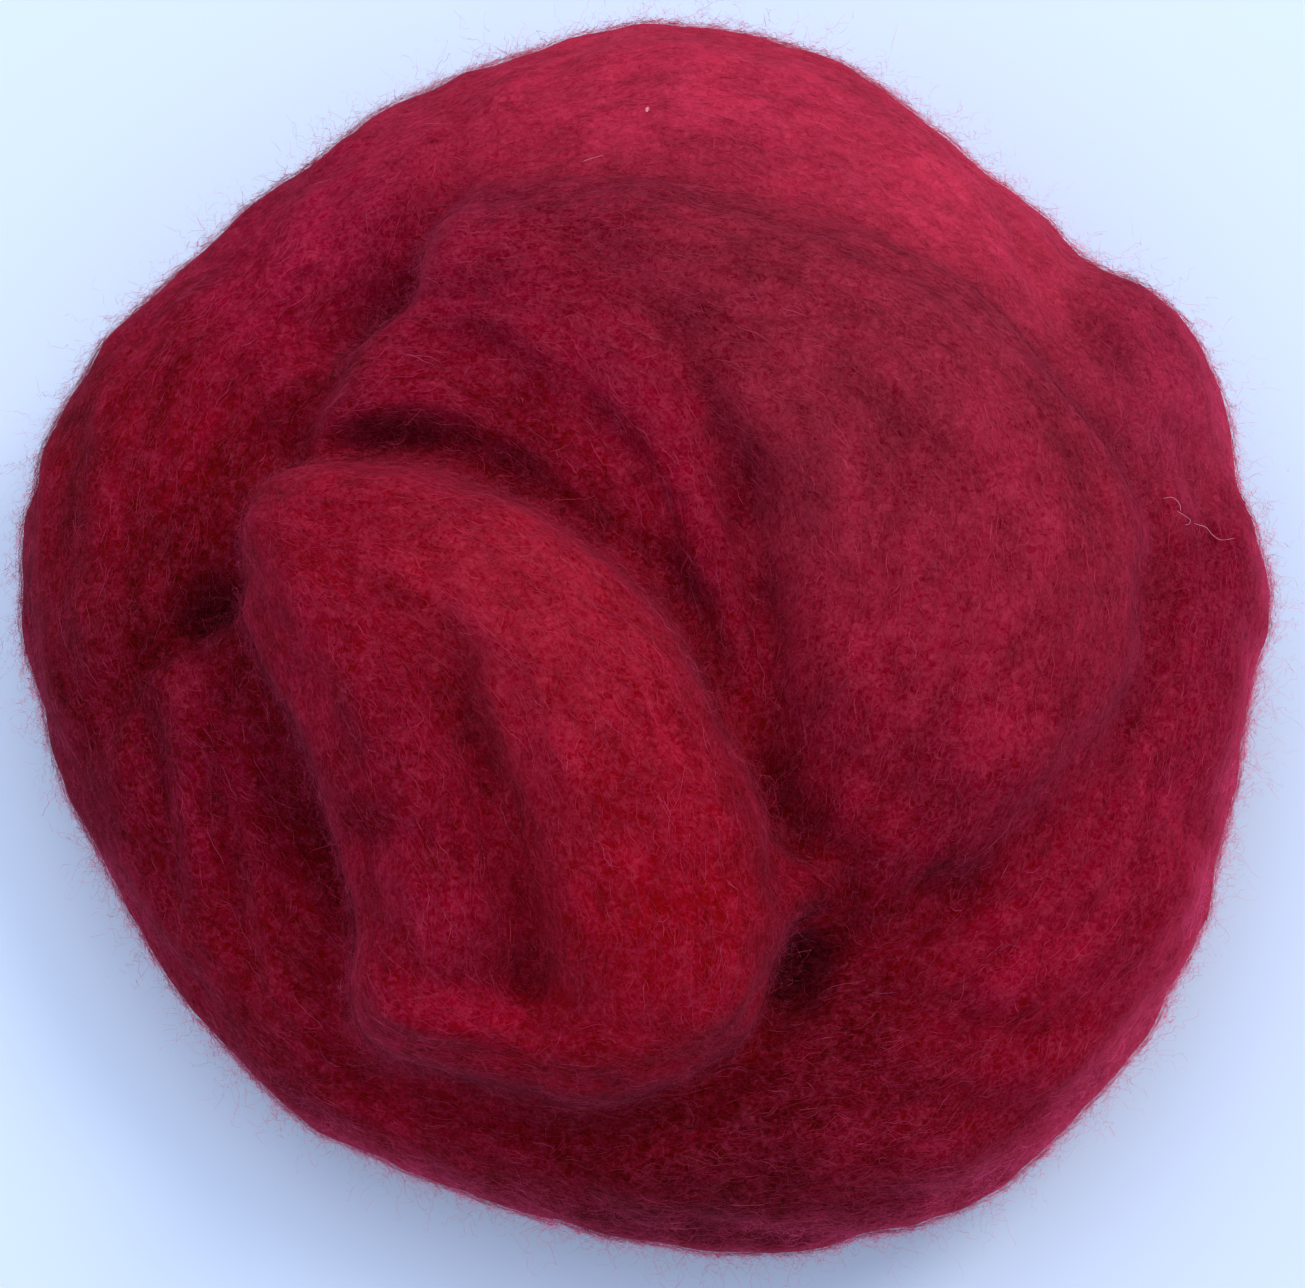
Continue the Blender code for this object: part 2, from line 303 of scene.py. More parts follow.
def band_grid(turn):
    """A turn's skin as a grid of points, closed by a point at each end, and its faces.
    Point = middle + side * wide * cos^(2/s) + lift * tall * sin^(2/s), with s the squareness."""
    angle = np.arange(AROUND) * 2 * math.pi / AROUND
    across = np.sign(np.cos(angle)) * np.abs(np.cos(angle)) ** (2 / SQUARENESS)
    up = np.sign(np.sin(angle)) * np.abs(np.sin(angle)) ** (2 / SQUARENESS)
    points = turn["middle"][:, None] + turn["side"][:, None] * (turn["wide"][:, None] * across)[:, :, None]
    points = points + turn["lift"][:, None] * (turn["tall"][:, None] * up)[:, :, None]
    count = len(turn["middle"])
    points = np.vstack([points.reshape(-1, 3), turn["middle"][:1], turn["middle"][-1:]])
    row, column = np.meshgrid(np.arange(count - 1), np.arange(AROUND), indexing="ij")
    beside = (column + 1) % AROUND
    corners = [row * AROUND + column, row * AROUND + beside]
    corners += [(row + 1) * AROUND + beside, (row + 1) * AROUND + column]
    faces = np.stack(corners, axis=-1).reshape(-1, 4).tolist()
    ring, after = np.arange(AROUND), (np.arange(AROUND) + 1) % AROUND
    last = (count - 1) * AROUND
    start_fan = np.column_stack([np.full(AROUND, count * AROUND), after, ring])
    end_fan = np.column_stack([np.full(AROUND, count * AROUND + 1), last + ring, last + after])
    return points, faces + start_fan.tolist() + end_fan.tolist()


def melt():
    """Every band in one mesh, remeshed on even cells."""
    points, faces, offset = [], [], 0
    for turn in turns.values():
        band_points, band_faces = band_grid(turn)
        points.append(band_points)
        faces += [[offset + i for i in face] for face in band_faces]
        offset += len(band_points)
    mesh = bpy.data.meshes.new("bands")
    mesh.from_pydata((np.vstack(points) * MM).tolist(), [], faces)
    holder = bpy.data.objects.new("bands", mesh)
    bpy.context.scene.collection.objects.link(holder)
    remesh = holder.modifiers.new("melt", "REMESH")
    remesh.mode = "VOXEL"
    remesh.voxel_size = CELL * MM
    skin = bpy.data.meshes.new_from_object(holder.evaluated_get(bpy.context.evaluated_depsgraph_get()))
    bpy.data.objects.remove(holder)
    bpy.data.meshes.remove(mesh)
    return skin


body_mesh = melt()
body_mesh.name = "wool_body"
print("skin:", len(body_mesh.vertices), "points,", len(body_mesh.polygons), "faces")

# %% [markdown]
# ## Whose skin is this?
#
# Once the turns are melted together, a point of the skin no longer knows which turn it lies on.
# Dye and fibre direction depend on that. So each point is measured against every turn:
# how far outside that turn's own section it lies. The nearer a turn, the more say it has.

# %% Measure points against the turns
PAST_THE_END = 0.5  # how much each millimetre past the end of a turn counts as outside it


def measure(points, turn):
    """For each point: how far outside the turn it is, how far along, at what angle round, and the way along.
    Outside = ((|a|^s + |b|^s)^(1/s) - 1) * size, with a and b the offsets over half width and half height."""
    middle = turn["middle"]
    gap = (points**2).sum(axis=1)[:, None] - 2 * points @ middle.T + (middle**2).sum(axis=1)
    nearest = gap.argmin(axis=1)
    offset = points - middle[nearest]
    a = (offset * turn["side"][nearest]).sum(axis=1) / turn["wide"][nearest]
    b = (offset * turn["lift"][nearest]).sum(axis=1) / turn["tall"][nearest]
    past = (offset * turn["along"][nearest]).sum(axis=1)
    reach = (np.abs(a) ** SQUARENESS + np.abs(b) ** SQUARENESS) ** (1 / SQUARENESS)
    outside = (reach - 1) * np.minimum(turn["wide"], turn["tall"])[nearest] + np.abs(past) * PAST_THE_END
    step = turn["length"] / (len(middle) - 1)
    return outside, nearest * step + past, np.arctan2(b, a), turn["along"][nearest]


def say(outside, blend):
    """How much each turn has to say at each point: exp(-distance outside it / blend), adding up to one."""
    nearness = np.exp(-(outside - outside.min(axis=1, keepdims=True)) / blend)
    return nearness / nearness.sum(axis=1, keepdims=True)


# %% [markdown]
# ## Strands and lumps
#
# A roving isn't smooth: its fibres gather in soft strands that run along it and slowly drift round it.
# A Displace modifier with a noise texture would make lumps, but it wouldn't know which way the wool runs.
# A sum of a few waves does. Each wave goes a whole number of times round the section,
# so that it meets itself, and its crest drifts as it goes along.

# %% Strand waves
# in millimetres, for a wave that goes five times round
STRAND_HEIGHT = {
    "outer_turn": 0.28,
    "back_turn": 0.16,
    "side_puff": 0.30,
    "crown_turn": 0.20,
    "inner_strand": 0.28,
    "strand_by_the_tail": 0.28,
    "wool_under_the_tail": 0.20,
    "tail_right": 0.22,
    "tail_left": 0.22,
    "folded_end": 0.15,
    "corner_tuft": 0.10,
    "core": 0.0,
}
FEWEST_TIMES, MOST_TIMES = 5, 16  # how often a strand wave goes round its turn
DRIFT = 0.02  # how far round a wave's crest drifts, in radians to a millimetre
STRAND_WAVES, LUMP_WAVES = 7, 8
LUMP_SUM = 2.8  # about the root of the number of lump waves: their sum is that much higher than one wave
BIG_LUMPS, SMALL_LUMPS = (0.40, 12), (0.12, 4)  # height and length in millimetres
rng = np.random.default_rng(11)


def strands(gone, angle, height):
    """A sum of waves: height * fewest / times * cos(times * angle + drift * gone + start)."""
    total = np.zeros(len(gone))
    for _ in range(STRAND_WAVES):
        times = rng.integers(FEWEST_TIMES, MOST_TIMES + 1)
        drift, start = rng.normal(0, DRIFT), rng.uniform(0, 2 * math.pi)
        total += height * FEWEST_TIMES / times * np.cos(times * angle + drift * gone + start)
    return total


def lumps(points, height, length):
    """Soft swellings: a sum of waves in random directions, each height / LUMP_SUM high
    and about length millimetres long."""
    total = np.zeros(len(points))
    for _ in range(LUMP_WAVES):
        way = unit(rng.normal(size=3)) * 2 * math.pi / (length * rng.uniform(0.7, 1.5))
        total += height / LUMP_SUM * np.cos(points @ way + rng.uniform(0, 2 * math.pi))
    return total


# %% [markdown]
# ## Creases
#
# Where two turns lie against each other, and where the roving is folded or pinched, the wool sinks in.
# The creases could be sculpted by hand, but a short table of lines can be read and changed.
# Each crease is a line seen from above, and whatever faces up near it is lowered.

# %% Press the creases
CREASE_STEPS = 14  # steps from one place of a crease to the next
FADE_FROM = 0.25  # how far up its fade a crease starts and ends, in radians of a half wave


def crease_drop(points):
    """How far each point sinks: depth * exp(-(d / width)^2), d being the distance to the crease's line.
    A crease fades towards both ends as a half wave does. Where creases meet, the deeper one counts."""
    drop = np.zeros(len(points))
    for depth, width, stops in CREASES.values():
        line = through(stops, CREASE_STEPS)
        fade = np.sin(np.linspace(FADE_FROM, math.pi - FADE_FROM, len(line) - 1))
        for start, end, strength in zip(line, line[1:], fade):
            piece = end - start
            share = np.clip((points[:, :2] - start) @ piece / (piece @ piece), 0, 1)
            away = np.linalg.norm(points[:, :2] - start - share[:, None] * piece, axis=1)
            drop = np.maximum(drop, depth * strength * np.exp(-((away / width) ** 2)))
    return drop


def soften(points, pairs, steps):
    """Moves each point halfway to the mean of its neighbours, a number of times."""
    joined = np.bincount(pairs.ravel(), minlength=len(points))
    for _ in range(steps):
        mean = np.empty_like(points)
        for axis in range(3):
            mean[:, axis] = np.bincount(pairs[:, 0], points[pairs[:, 1], axis], len(points))
            mean[:, axis] += np.bincount(pairs[:, 1], points[pairs[:, 0], axis], len(points))
        points = points + 0.5 * (mean / joined[:, None] - points)
    return points


def read(collection, key, width):
    """A mesh array as numpy rows."""
    flat = np.zeros(len(collection) * width)
    collection.foreach_get(key, flat)
    return flat.reshape(-1, width)


def put(mesh, points):
    """Moves a mesh's points, given in millimetres, and returns its new ways out."""
    mesh.vertices.foreach_set("co", (points * MM).ravel())
    mesh.update()
    return read(mesh.vertices, "normal", 3)


# %% Shape the skin
FIRST_SOFTENING, LAST_SOFTENING = 10, 2  # steps
SHAPE_BLEND = 1.3  # millimetres over which one turn's strands give way to the next one's
MORE_DOWN = 0.8  # a crease is pressed straight in and, this much more, straight down

pairs = read(body_mesh.edges, "vertices", 2).astype(int)
skin = soften(read(body_mesh.vertices, "co", 3) / MM, pairs, FIRST_SOFTENING)
outward = put(body_mesh, skin)
measures = [measure(skin, turn) for turn in turns.values()]
outside, gone, angle, along = [np.stack(found, axis=1) for found in zip(*measures)]
shares = say(outside, SHAPE_BLEND)
heights = [strands(gone[:, i], angle[:, i], STRAND_HEIGHT[name]) for i, name in enumerate(turns)]
swelling = (shares * np.column_stack(heights)).sum(axis=1) + lumps(skin, *BIG_LUMPS) + lumps(skin, *SMALL_LUMPS)
drop = crease_drop(skin)
faces_up = np.clip(outward[:, 2] * 2 + 0.2, 0, 1)
pressed = unit(outward + (0, 0, MORE_DOWN)) * (drop * faces_up)[:, None]
skin = soften(skin + outward * swelling[:, None] - pressed, pairs, LAST_SOFTENING)
skin -= (CENTRE[0], CENTRE[1], BASE_FROM)
skin[:, 2] = np.maximum(skin[:, 2], 0)
outward = put(body_mesh, skin)
print("skin size in mm:", np.ptp(skin, axis=0).round(1))

# %% [markdown]
# ## Dye
#
# The wool is hand dyed, so the red shifts along the roving: bright crimson in the turn at the back,
# a dusty wine red over the crown, a warm red in the free end, and dark wine in the outer turn.
# A picture wrapped round the nest would need a flat map of a very lumpy shape.
# A colour stored at each point of the skin needs none, and the fibres can take it from there.
# A few darker stops in the table paint shade as well as dye; they are marked.

# %% The table of dyes
# a row: share of the way along the turn, then red, green and blue
DYES_AND_SHADE = {
    "outer_turn": [
        (0.00, 0.320, 0.0100, 0.034),
        (0.12, 0.220, 0.0045, 0.023),
        (0.18, 0.220, 0.0040, 0.020),
        (0.24, 0.175, 0.0010, 0.010),
        # the darker stops at 0.29 and 0.34 paint the shadow that falls down and to the left from the left hole
        (0.29, 0.138, 0.0006, 0.008),
        (0.34, 0.120, 0.0004, 0.008),
        (0.39, 0.145, 0.0005, 0.011),
        (0.44, 0.165, 0.0008, 0.010),
        (0.52, 0.165, 0.0006, 0.010),
        # the darker stops at 0.60 and 0.64 paint shade on the front of the outer turn
        (0.60, 0.105, 0.0004, 0.006),
        (0.64, 0.098, 0.0004, 0.006),
        (0.69, 0.130, 0.0012, 0.009),
        (0.74, 0.220, 0.0025, 0.015),
        (0.82, 0.260, 0.0060, 0.024),
        (0.92, 0.200, 0.0045, 0.019),
        (1.00, 0.250, 0.0060, 0.022),
    ],
    "back_turn": [(0.0, 0.285, 0.009, 0.029), (0.4, 0.380, 0.017, 0.044), (1.0, 0.460, 0.028, 0.060)],
    "side_puff": [
        (0.0, 0.240, 0.010, 0.028),
        # the darker middle of the puff is partly dye and partly painted shade
        (0.35, 0.210, 0.0085, 0.025),
        (0.65, 0.320, 0.017, 0.045),
        (1.0, 0.420, 0.030, 0.065),
    ],
    "crown_turn": [
        (0.0, 0.170, 0.002, 0.015),
        (0.3, 0.210, 0.010, 0.023),
        (0.5, 0.240, 0.012, 0.027),
        (0.7, 0.270, 0.009, 0.026),
        (0.85, 0.190, 0.002, 0.013),
        (1.0, 0.090, 0.0004, 0.005),
    ],
    "inner_strand": [
        (0.0, 0.225, 0.0060, 0.023),
        (0.6, 0.235, 0.0040, 0.019),
        (0.85, 0.155, 0.0006, 0.007),
        (1.0, 0.120, 0.0005, 0.006),
    ],
    "strand_by_the_tail": [(0.0, 0.165, 0.0015, 0.012), (1.0, 0.145, 0.0008, 0.007)],
    "wool_under_the_tail": [(0.0, 0.190, 0.0025, 0.016), (1.0, 0.170, 0.0015, 0.011)],
    "tail_right": [
        (0.0, 0.205, 0.0014, 0.011),
        (0.4, 0.285, 0.0085, 0.021),
        (0.6, 0.270, 0.0060, 0.018),
        (0.8, 0.240, 0.0012, 0.010),
        (1.0, 0.240, 0.0010, 0.009),
    ],
    "tail_left": [(0.0, 0.200, 0.0020, 0.013), (0.6, 0.172, 0.0010, 0.011), (1.0, 0.195, 0.0022, 0.015)],
    "folded_end": [(0.0, 0.215, 0.0018, 0.014), (1.0, 0.235, 0.0012, 0.011)],
    "corner_tuft": [(0.0, 0.250, 0.0045, 0.017), (1.0, 0.140, 0.0008, 0.009)],
    "core": [(0.0, 0.200, 0.0040, 0.020), (1.0, 0.200, 0.0040, 0.020)],
}
print("dyes for", len(DYES_AND_SHADE), "turns")

# %% [markdown]
# Near a border the colours of both turns are mixed, because the fibres of one lie over the other.
# The dye also takes in streaks, drawn out along the wool, and in small clumps.

# %% Dye, streaks and clumps
DYE_BLEND = 2.0  # millimetres over which the dyes of two turns mix
LATTICE = 256  # the noise comes back after this many cells
AWAY_FROM_ZERO = 60  # cells, so that streaks don't mirror where the angle is nothing
# length and width in millimetres
LONG_STREAKS, SHORT_STREAKS = (8, 1.8), (3, 1.2)
SMALL_CLUMPS, BIG_CLUMPS = 2.2, 5  # millimetres


def dyed(share, rows):
    """The colour at a share of the way along a turn, mixed evenly between the rows of its table."""
    stops, *channels = np.array(rows).T
    return np.column_stack([np.interp(share, stops, channel) for channel in channels])


def soft_noise(east, north):
    """Random numbers from -1 to 1 on a lattice, mixed between its corners by x * x * (3 - 2 * x)."""
    table = rng.uniform(-1, 1, (LATTICE, LATTICE))
    column, row = np.floor(east).astype(int), np.floor(north).astype(int)
    x, y = east - column, north - row
    x, y = x * x * (3 - 2 * x), y * y * (3 - 2 * y)
    left, right = column % LATTICE, (column + 1) % LATTICE
    low, high = row % LATTICE, (row + 1) % LATTICE
    near = table[left, low] * (1 - x) + table[right, low] * x
    far = table[left, high] * (1 - x) + table[right, high] * x
    return near * (1 - y) + far * y


def streaks(gone, angle, size):
    """Lighter and darker streaks drawn out along the wool, in two sizes."""
    total = 0
    for length, width in (LONG_STREAKS, SHORT_STREAKS):
        total = total + 0.6 * soft_noise(gone / length + AWAY_FROM_ZERO, angle * size / width + AWAY_FROM_ZERO)
    return total


blend = say(outside, DYE_BLEND)
dyes_and_light = [dyed(gone[:, i] / turns[name]["length"], DYES_AND_SHADE[name]) for i, name in enumerate(turns)]
skin_dye_and_light = (blend[:, :, None] * np.stack(dyes_and_light, axis=1)).sum(axis=1)
drawn = [streaks(gone[:, i], angle[:, i], turn["size"]) for i, turn in enumerate(turns.values())]
clumps = sum(soft_noise(skin[:, 0] / size, skin[:, 1] / size) for size in (SMALL_CLUMPS, BIG_CLUMPS))
streak = (blend * np.column_stack(drawn)).sum(axis=1)
print("mean dye of the skin, red, green and blue:", skin_dye_and_light.mean(axis=0).round(3))

# %% [markdown]
# ## Dust, a painted highlight on edges and painted shade in hollows
#
# Loose surface fibres scatter light and make pale streaks and clumps look dusty pink. Edges get more of that
# pink as a painted highlight, and the wool in a hollow is painted darker and less dusty, as painted shade.
# A hollow is found by softening a copy of the skin: where the softened copy lies outside, the skin is hollow.

# %% Find the hollows, and paint shade into them and a highlight on the edges
# lightness = (1 + shares of the streaks and clumps) * exp(-share * hollow^2), the second factor being painted
# shade dust = a little everywhere, more on pale streaks and clumps, and as painted light less in a hollow and
# more on an edge
HOLLOW_SOFTENING = 70  # steps
# past this depth the painted shade of a hollow grows no darker
DEEPEST = 3.5  # millimetres, past which a hollow looks no deeper
# the dusty pink of loose fibres, also the colour of the painted highlight on edges
DUST_AND_EDGE_LIGHT = np.array((0.34, 0.020, 0.055))

hollow = ((soften(skin, pairs, HOLLOW_SOFTENING) - skin) * outward).sum(axis=1)
print("hollow in mm, from the sharpest edge to the deepest fold:", hollow.min().round(1), hollow.max().round(1))
# painted shade: the colour is darkened in the hollows
tone_and_hollow_shade = (1 + 0.18 * streak + 0.07 * clumps) * np.exp(-0.055 * np.clip(hollow, 0, DEEPEST) ** 2)
skin_dye_and_light = skin_dye_and_light * tone_and_hollow_shade[:, None]
# painted highlight and shade: more dusty pink on edges, less in hollows
skin_dust_and_painted_light = np.clip(0.05 - 0.12 * hollow + 0.12 * streak + 0.05 * clumps, 0, 0.5)
skin_dye_and_light = skin_dye_and_light + 0.35 * skin_dust_and_painted_light[:, None] * (DUST_AND_EDGE_LIGHT - skin_dye_and_light)

# %% [markdown]
# ## Light through the edge, and places in the shade
#
# Where loose wool ends in the open, light comes through it from behind, and it looks paler and pinker.
# A translucent material would do that in a render, but little of it would be left in an exported model.
# So this light is painted into the colour of the low outer sides, most on the side where the window is.
# Two places get painted shade instead: the steep front of the folded end, and the narrow creases on the right.

# %% Painted light on the open sides, painted shade in two places
WINDOW_WAY = (0.95, 0.35)  # east and north
OPEN_FROM = 42  # millimetres from the middle
CLEAR_BELOW, MORE_BY_THE_WINDOW = 28, 10  # heights in millimetres
FADES_SIDEWAYS, FADES_UP = 8, 14  # millimetres
RIGHT_FROM = (28, -12)  # east and north, where the narrow creases on the right begin
# the colour of the painted light through the wool
GLOW = np.array((0.80, 0.050, 0.13))  # wool with light through it


def open_side(points, out):
    """Masks for the painted light through the wool: how much a side faces the window, 0.5 + 0.6 * (way out .
    window way), and how clear it stands of other wool, which is far from the middle and low down. Each is from
    0 to 1."""
    facing = np.clip(0.5 + 0.6 * (out[:, 0] * WINDOW_WAY[0] + out[:, 1] * WINDOW_WAY[1]), 0, 1)
    far_out = np.clip((np.linalg.norm(points[:, :2], axis=1) - OPEN_FROM) / FADES_SIDEWAYS, 0, 1)
    low_down = np.clip((CLEAR_BELOW + MORE_BY_THE_WINDOW * facing - points[:, 2]) / FADES_UP, 0, 1)
    return facing, far_out * low_down


facing, clear = open_side(skin, outward)
# masks for painted shade: the steep front wall of the folded end, and the narrow creases on the right
steep = np.clip((0.5 - outward[:, 2]) / 0.4, 0, 1)
front_wall_shade = steep * np.clip(-1.5 * outward[:, 1], 0, 1) * (1 - clear)
right, behind = [np.clip((skin[:, i] - RIGHT_FROM[i]) / FADES_SIDEWAYS, 0, 1) for i in (0, 1)]
# painted shade: the front wall and the creases on the right are darkened
skin_dye_and_light = skin_dye_and_light * ((1 - 0.35 * front_wall_shade) * np.exp(-0.05 * drop * (right * behind)))[:, None]
# painted light through the edge: the glow is strongest where the way out is level, and fades towards the top
# and the underside
glow = np.clip((0.45 + 0.30 * facing - outward[:, 2]) / 0.6, 0, 1) * np.clip((outward[:, 2] + 0.6) / 0.7, 0, 1)
glow = 0.42 * (0.3 + 0.7 * facing) * clear * glow
skin_dye_and_light = skin_dye_and_light + glow[:, None] * (GLOW - skin_dye_and_light)
print(f"skin that is paler by a tenth or more: {100 * (glow > 0.1).mean():.0f}%")

# %% Put the dye on the skin, and note which way the wool lies


def paint(mesh, name, colours):
    """Stores a colour for each point of a mesh."""
    layer = mesh.attributes.new(name, "FLOAT_COLOR", "POINT")
    layer.data.foreach_set("color", np.column_stack([colours, np.ones(len(colours))]).ravel())


# the stored colour is the dye with the painted light and shade added to it
paint(body_mesh, "dye_and_light", skin_dye_and_light)
skin_lay = (shares[:, :, None] * along).sum(axis=1)
skin_lay = unit(skin_lay - outward * (skin_lay * outward).sum(axis=1, keepdims=True))
body_mesh.shade_smooth()
wool_body = bpy.data.objects.new("wool_body", body_mesh)
bpy.context.scene.collection.objects.link(wool_body)
print("wool_body:", len(body_mesh.vertices), "dyed points")

# %% [markdown]
# ## Materials
#
# Wool is matt, but its fibres catch the light at a glancing angle, which is what sheen is for.
# The skin under the fibres looks like felt: fine bright threads over darker gaps, and soft blotches of dye.
# Noise over the object's own coordinates makes them, because it needs no flat map of the nest.

# %% Node helpers


def add(tree, kind, **inputs):
    """A node of a kind, with plain values put on its named sockets."""
    node = tree.nodes.new(kind)
    for name, value in inputs.items():
        node.inputs[name.replace("_", " ")].default_value = value
    return node


def multiplied(tree, colour, factor):
    """A colour socket multiplied by a number socket."""
    node = tree.nodes.new("ShaderNodeVectorMath")
    node.operation = "SCALE"
    tree.links.new(colour, node.inputs[0])
    tree.links.new(factor, node.inputs["Scale"])
    return node.outputs[0]


PALER = np.array((1.0, 0.15, 0.25))  # the way a red shifts as the wool gets paler


def paler(tree, colour, amount):
    """A colour socket + a number socket * PALER, never below nothing."""
    node = tree.nodes.new("ShaderNodeVectorMath")
    node.operation = "MULTIPLY_ADD"
    node.inputs[1].default_value = PALER
    tree.links.new(amount, node.inputs[0])
    tree.links.new(colour, node.inputs[2])
    floor = tree.nodes.new("ShaderNodeVectorMath")
    floor.operation = "MAXIMUM"
    tree.links.new(node.outputs[0], floor.inputs[0])
    return floor.outputs[0]


def stretched(tree, value, low, high, from_low=0.3, from_high=0.7):
    """A number socket stretched from one range to another."""
    node = add(tree, "ShaderNodeMapRange", From_Min=from_low, From_Max=from_high, To_Min=low, To_Max=high)
    tree.links.new(value, node.inputs["Value"])
    return node.outputs[0]


def noise(tree, scale, detail, **inputs):
    """Noise over the object's own coordinates, in metres."""
    where = tree.nodes.new("ShaderNodeTexCoord")
    node = add(tree, "ShaderNodeTexNoise", Scale=scale, Detail=detail, **inputs)
    tree.links.new(where.outputs["Object"], node.inputs["Vector"])
    return node.outputs[0]


SHEEN_TINT = (1.0, 0.12, 0.28, 1.0)


def wool(name, sheen):
    """A wool material whose base colour starts from the colour that each point carries: its dyed colour with
    painted light and shade.
    """
    material = bpy.data.materials.new(name)
    material.use_nodes = True
    tree = material.node_tree
    shader = tree.nodes["Principled BSDF"]
    shader.inputs["Sheen Weight"].default_value = sheen
    shader.inputs["Sheen Roughness"].default_value = 0.35
    shader.inputs["Sheen Tint"].default_value = SHEEN_TINT
    shader.inputs["Specular IOR Level"].default_value = 0.04
    dye_and_light = tree.nodes.new("ShaderNodeAttribute")
    dye_and_light.attribute_name = "dye_and_light"
    return material, tree, shader, dye_and_light.outputs["Color"]


# %% Felted skin
# how many to a metre
THREADS, TUFTS, BLOTCHES, FIBRE_BLOTCHES = 1900.0, 620.0, 95.0, 420.0


def felt():
    """Dye made paler and deeper by fine threads and tufts, times soft blotches, with the threads as bump."""
    material, tree, shader, dye_and_light = wool("felted_wool", 0.18)
    threads = noise(tree, THREADS, 3.0, Roughness=0.6, Distortion=0.9)
    tufts = noise(tree, TUFTS, 3.0, Roughness=0.6, Distortion=0.4)
    blotches = noise(tree, BLOTCHES, 3.0, Roughness=0.55)
    colour = paler(tree, dye_and_light, stretched(tree, threads, -0.07, 0.05))
    colour = paler(tree, colour, stretched(tree, tufts, -0.03, 0.03))
    colour = multiplied(tree, colour, stretched(tree, blotches, 0.90, 1.09))
    tree.links.new(colour, shader.inputs["Base Color"])
    tree.links.new(stretched(tree, tufts, 0.85, 1.0), shader.inputs["Roughness"])
    height = tree.nodes.new("ShaderNodeMath")
    height.operation = "ADD"
    tree.links.new(threads, height.inputs[0])
    tree.links.new(tufts, height.inputs[1])
    bump = add(tree, "ShaderNodeBump", Strength=0.55, Distance=0.0004)
    tree.links.new(height.outputs[0], bump.inputs["Height"])
    tree.links.new(bump.outputs[0], shader.inputs["Normal"])
    return material


body_mesh.materials.clear()
body_mesh.materials.append(felt())

# %% Single fibres


def fibre(name, sheen):
    """The colour that each fibre carries, its dyed colour with painted light and shade, with faint blotches
    along it.
    """
    material, tree, shader, dye_and_light = wool(name, sheen)
    blotches = noise(tree, FIBRE_BLOTCHES, 2.0)
    tree.links.new(multiplied(tree, dye_and_light, stretched(tree, blotches, 0.82, 1.18)), shader.inputs["Base Color"])
    tree.links.new(stretched(tree, blotches, 0.8, 0.95), shader.inputs["Roughness"])
    return material


felt_fibre = fibre("felt_fibre", 0.15)
loose_fibre = fibre("loose_fibre", 0.40)
print("fibre materials:", felt_fibre.name, "and", loose_fibre.name)

# %% [markdown]
# ## Fibres
#
# A fibre is a narrow ribbon, thinner than a tenth of a millimetre. Each one is rooted at a random place
# on the skin and wanders close to it, a little more along the wool than across it.
# Thousands of them blur the skin, and give the soft edge that tells the eye this is wool.
# Blender's own hair would be finer still, but hair curves are lost when a model is exported.

# %% Random roots on the skin
UNDERSIDE = -0.75  # where the way out points down more than this, no fibres grow
body_mesh.calc_loop_triangles()
corners = read(body_mesh.loop_triangles, "vertices", 3).astype(int)
edge_one = skin[corners[:, 1]] - skin[corners[:, 0]]
edge_two = skin[corners[:, 2]] - skin[corners[:, 0]]
areas = np.linalg.norm(np.cross(edge_one, edge_two), axis=1) / 2
areas = np.where(outward[corners[:, 0], 2] < UNDERSIDE, 0, areas)
filled = np.cumsum(areas)
# the same for the sides alone, with nothing where the way out points up more than 0.9
side_filled = np.cumsum(areas * np.clip(0.9 - outward[corners[:, 0], 2], 0, 0.4))
print(f"wool that can be seen: {filled[-1] / 100:.0f} square centimetres")


def roots(count, spread, rng):
    """Places over the skin, as many on each face as spread says: position, way out, way along the wool,
    colour and hollow at each. The colour is the skin's, with its painted light and shade, mixed towards dusty
    pink by its dust."""
    face = corners[np.searchsorted(spread, rng.uniform(0, spread[-1], count))]
    weights = rng.dirichlet((1, 1, 1), count)[:, :, None]
    grown = (skin, outward, skin_lay, skin_dye_and_light, skin_dust_and_painted_light[:, None], hollow[:, None])
    place, out, lay, dye_and_light, dust_and_painted_light, sunk = [(values[face] * weights).sum(axis=1) for values in grown]
    out = unit(out)
    return place, out, unit(lay - out * (lay * out).sum(axis=1, keepdims=True)), dye_and_light + dust_and_painted_light * (DUST_AND_EDGE_LIGHT - dye_and_light), sunk


# %% Paths of fibres
SKIN_RADIUS = 22  # millimetres, how round the skin is under a long fibre
LEAST_HEIGHT = 0.06  # millimetres above the table
WAVE_LENGTHS = (1.6, 4.5)  # millimetres, of a fibre's shortest and longest waves


